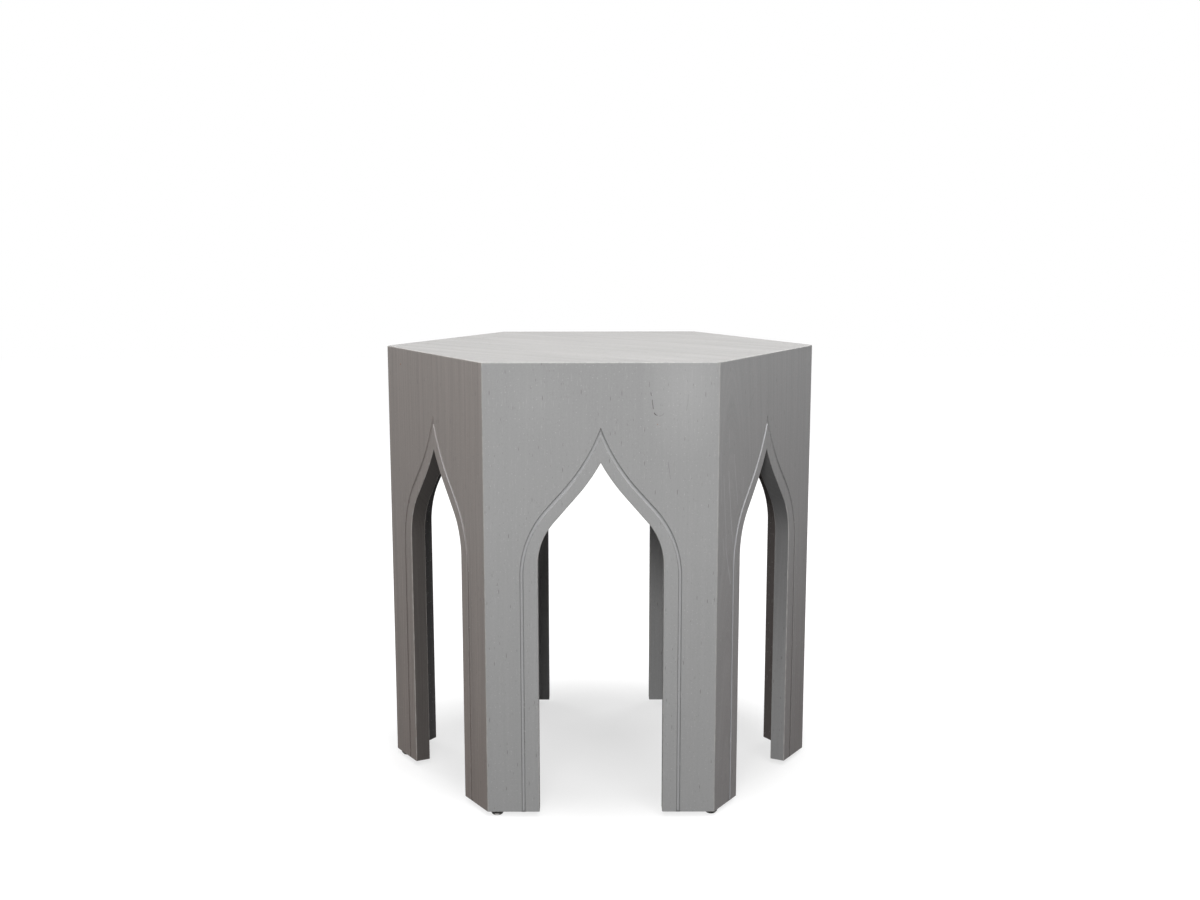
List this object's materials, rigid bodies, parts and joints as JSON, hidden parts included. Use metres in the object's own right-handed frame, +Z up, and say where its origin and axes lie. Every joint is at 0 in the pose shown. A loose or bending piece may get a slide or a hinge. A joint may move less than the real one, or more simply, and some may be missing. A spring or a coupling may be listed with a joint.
{
  "type": "kursi stool",
  "caption": "Hexagonal table-height stool of mitred boards: flat top, a keel-arch opening with a routed line in each side, V-shaped legs on small glides.",
  "frame": {"origin": "middle of the hexagon at floor level, where the glides rest", "axes": "+Z up; the front panel faces -Y; two of the six corners lie on the X axis"},
  "size_m": [0.5586, 0.484, 0.5605],
  "materials": {
    "painted_wood": "satin grey paint over open-grain wood",
    "birch_ply": "raw birch plywood tongue",
    "pine": "raw softwood",
    "nickel_steel": "black-nickel plated pressed steel",
    "zinc_steel": "bright zinc plate",
    "rubber": "matte black rubber"
  },
  "bodies": {
    "root": {"top_panel": "painted_wood", "arch_panel_front": "painted_wood", "rim_spline_front": "birch_ply", "block_screw_front_leading": "zinc_steel", "block_screw_front_trailing": "zinc_steel", "arch_panel_front_right": "painted_wood", "rim_spline_front_right": "birch_ply", "block_screw_front_right_leading": "zinc_steel", "block_screw_front_right_trailing": "zinc_steel", "arch_panel_back_right": "painted_wood", "rim_spline_back_right": "birch_ply", "block_screw_back_right_leading": "zinc_steel", "block_screw_back_right_trailing": "zinc_steel", "arch_panel_back": "painted_wood", "rim_spline_back": "birch_ply", "block_screw_back_leading": "zinc_steel", "block_screw_back_trailing": "zinc_steel", "arch_panel_back_left": "painted_wood", "rim_spline_back_left": "birch_ply", "block_screw_back_left_leading": "zinc_steel", "block_screw_back_left_trailing": "zinc_steel", "arch_panel_front_left": "painted_wood", "rim_spline_front_left": "birch_ply", "block_screw_front_left_leading": "zinc_steel", "block_screw_front_left_trailing": "zinc_steel", "corner_spline_front_left": "birch_ply", "corner_block_front_left": "pine", "glide_cap_front_left": "nickel_steel", "glide_cushion_front_left": "rubber", "glide_nail_front_left": "zinc_steel", "corner_spline_front_right": "birch_ply", "corner_block_front_right": "pine", "glide_cap_front_right": "nickel_steel", "glide_cushion_front_right": "rubber", "glide_nail_front_right": "zinc_steel", "corner_spline_right": "birch_ply", "corner_block_right": "pine", "glide_cap_right": "nickel_steel", "glide_cushion_right": "rubber", "glide_nail_right": "zinc_steel", "corner_spline_back_right": "birch_ply", "corner_block_back_right": "pine", "glide_cap_back_right": "nickel_steel", "glide_cushion_back_right": "rubber", "glide_nail_back_right": "zinc_steel", "corner_spline_back_left": "birch_ply", "corner_block_back_left": "pine", "glide_cap_back_left": "nickel_steel", "glide_cushion_back_left": "rubber", "glide_nail_back_left": "zinc_steel", "corner_spline_left": "birch_ply", "corner_block_left": "pine", "glide_cap_left": "nickel_steel", "glide_cushion_left": "rubber", "glide_nail_left": "zinc_steel"}
  },
  "joints": []
}
